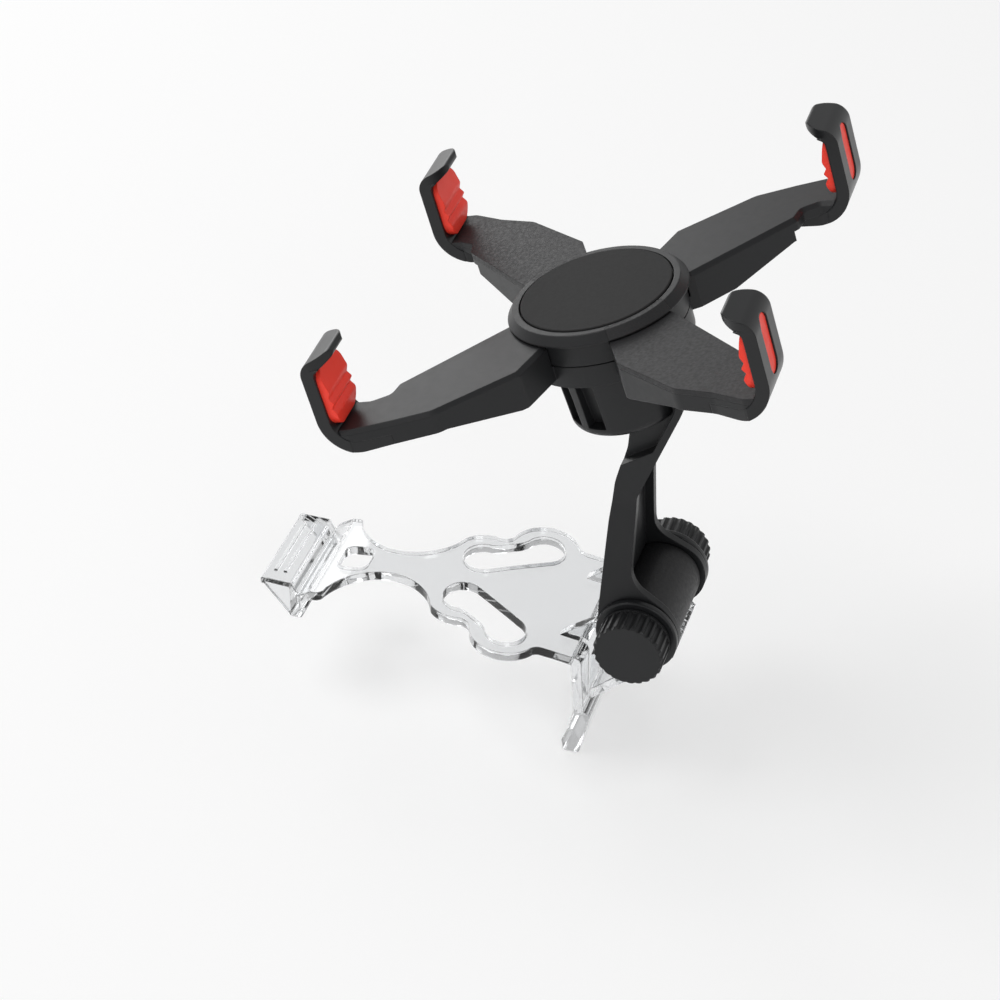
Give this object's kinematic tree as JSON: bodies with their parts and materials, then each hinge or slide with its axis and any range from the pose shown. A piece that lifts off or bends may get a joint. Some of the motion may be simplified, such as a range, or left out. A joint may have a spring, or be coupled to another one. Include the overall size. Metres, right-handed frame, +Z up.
{
  "type": "controller phone clip",
  "caption": "Clear saddle that clips over a game controller, with a tilting black arm that carries a swivelling cross of padded hooks for a phone.",
  "frame": {"origin": "centre of the saddle's seat, on the underside of the clear plate where it rests on the controller", "axes": "+X to the user's right along the tilt hinge, -Y towards the user, +Z up from the controller's face"},
  "size_m": [0.103, 0.1359, 0.1599],
  "materials": {
    "clear_plastic": "clear glossy plastic",
    "black_plastic": "satin",
    "textured_black": "fine grain",
    "black_gloss": "semi-gloss",
    "soft_black": "soft matt",
    "red_rubber": "soft satin",
    "fibre": "matt",
    "steel": "plain"
  },
  "bodies": {
    "bracket": {"saddle_bracket": "clear_plastic", "hinge_barrel": "textured_black", "barrel_screws": "steel", "right_washer": "fibre", "left_washer": "fibre"},
    "arm": {"support_arm": "black_plastic", "cup_cap": "black_plastic", "right_collar": "black_gloss", "left_collar": "black_gloss"},
    "right_knob": {"right_knob": "black_plastic", "knob_nut": "steel"},
    "left_knob": {"left_knob": "black_plastic", "hinge_bolt": "steel"},
    "upper_bar": {"upper_bar": "black_plastic", "centre_pad": "soft_black", "swivel_bolt": "steel", "swivel_washer": "steel", "cone_washer": "steel", "swivel_nut": "steel", "rear_right_cover": "textured_black", "front_left_cover": "textured_black", "rear_right_hook": "black_gloss", "rear_right_grip": "red_rubber", "front_left_hook": "black_gloss", "front_left_grip": "red_rubber", "upper_screws": "steel"},
    "lower_bar": {"lower_bar": "black_plastic", "friction_ring": "fibre", "front_right_hook": "black_gloss", "front_right_grip": "red_rubber", "rear_left_hook": "black_gloss", "rear_left_grip": "red_rubber", "lower_screws": "steel"}
  },
  "joints": [
    {"name": "arm_tilt", "type": "hinge", "parent": "bracket", "child": "arm", "pos_m": [0, 0.0574, 0.0069], "axis": [1, 0, 0], "range_deg": [-75, 14]},
    {"name": "right_knob_turn", "type": "hinge", "parent": "arm", "child": "right_knob", "pos_m": [0.0198, 0.0574, 0.0069], "axis": [1, 0, 0], "continuous": true},
    {"name": "left_knob_turn", "type": "hinge", "parent": "arm", "child": "left_knob", "pos_m": [-0.0198, 0.0574, 0.0069], "axis": [1, 0, 0], "continuous": true},
    {"name": "head_spin", "type": "hinge", "parent": "arm", "child": "upper_bar", "pos_m": [0, 0.0404, 0.0958], "axis": [0, -0.284, 0.9588], "continuous": true},
    {"name": "bar_scissor", "type": "hinge", "parent": "upper_bar", "child": "lower_bar", "pos_m": [0, 0.0404, 0.0958], "axis": [0, -0.284, 0.9588], "range_deg": [-24, 36]}
  ]
}
